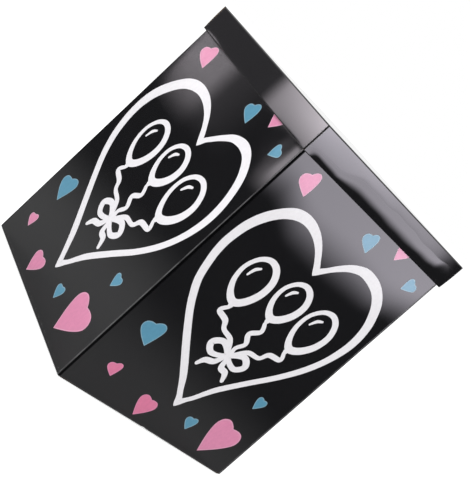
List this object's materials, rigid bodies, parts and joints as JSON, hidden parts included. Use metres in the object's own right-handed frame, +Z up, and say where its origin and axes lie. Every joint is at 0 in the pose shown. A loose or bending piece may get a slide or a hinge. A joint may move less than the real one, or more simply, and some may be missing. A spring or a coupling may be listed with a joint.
{
  "type": "gender reveal box",
  "caption": "Tall square board party box with a lift-off tray lid and folding bottom flaps, for releasing balloons.",
  "frame": {"origin": "middle of the footprint, on the surface the box stands on", "axes": "+Z up towards the lid, -Y out of the front panel, +X out of the right panel"},
  "size_m": [0.4616, 0.4616, 0.6],
  "materials": {
    "black_laminate": "gloss",
    "board_back": "matte"
  },
  "bodies": {
    "body": {"front_panel": "black_laminate", "right_panel": "black_laminate", "back_panel": "black_laminate", "left_panel": "black_laminate", "glue_flap": "board_back"},
    "flap_front": {"bottom_flap_front": "black_laminate"},
    "flap_back": {"bottom_flap_back": "black_laminate"},
    "flap_left": {"bottom_flap_left": "board_back"},
    "flap_right": {"bottom_flap_right": "board_back"},
    "lid": {"lid_top_panel": "black_laminate", "lid_rim_front": "black_laminate", "lid_rim_back": "black_laminate", "lid_rim_left": "black_laminate", "lid_rim_right": "black_laminate", "lid_inner_rim_front": "black_laminate", "lid_inner_rim_back": "black_laminate", "lid_inner_rim_left": "black_laminate", "lid_inner_rim_right": "black_laminate", "lid_tab_front_left": "black_laminate", "lid_tab_front_right": "black_laminate", "lid_tab_back_left": "black_laminate", "lid_tab_back_right": "black_laminate"}
  },
  "joints": [
    {"name": "lid_lift", "type": "slide", "parent": "body", "child": "lid", "axis": [0, 0, 1], "range_m": [0, 0.36]},
    {"name": "front_flap_fold", "type": "hinge", "parent": "body", "child": "flap_front", "pos_m": [0, -0.225, 0], "axis": [-1, 0, 0], "range_deg": [0, 180]},
    {"name": "back_flap_fold", "type": "hinge", "parent": "body", "child": "flap_back", "pos_m": [0, 0.225, 0], "axis": [1, 0, 0], "range_deg": [0, 180]},
    {"name": "left_flap_fold", "type": "hinge", "parent": "body", "child": "flap_left", "pos_m": [-0.2232, 0, 0.0033], "axis": [0, -1, 0], "range_deg": [0, 90]},
    {"name": "right_flap_fold", "type": "hinge", "parent": "body", "child": "flap_right", "pos_m": [0.2232, 0, 0.0033], "axis": [0, 1, 0], "range_deg": [0, 90]}
  ]
}
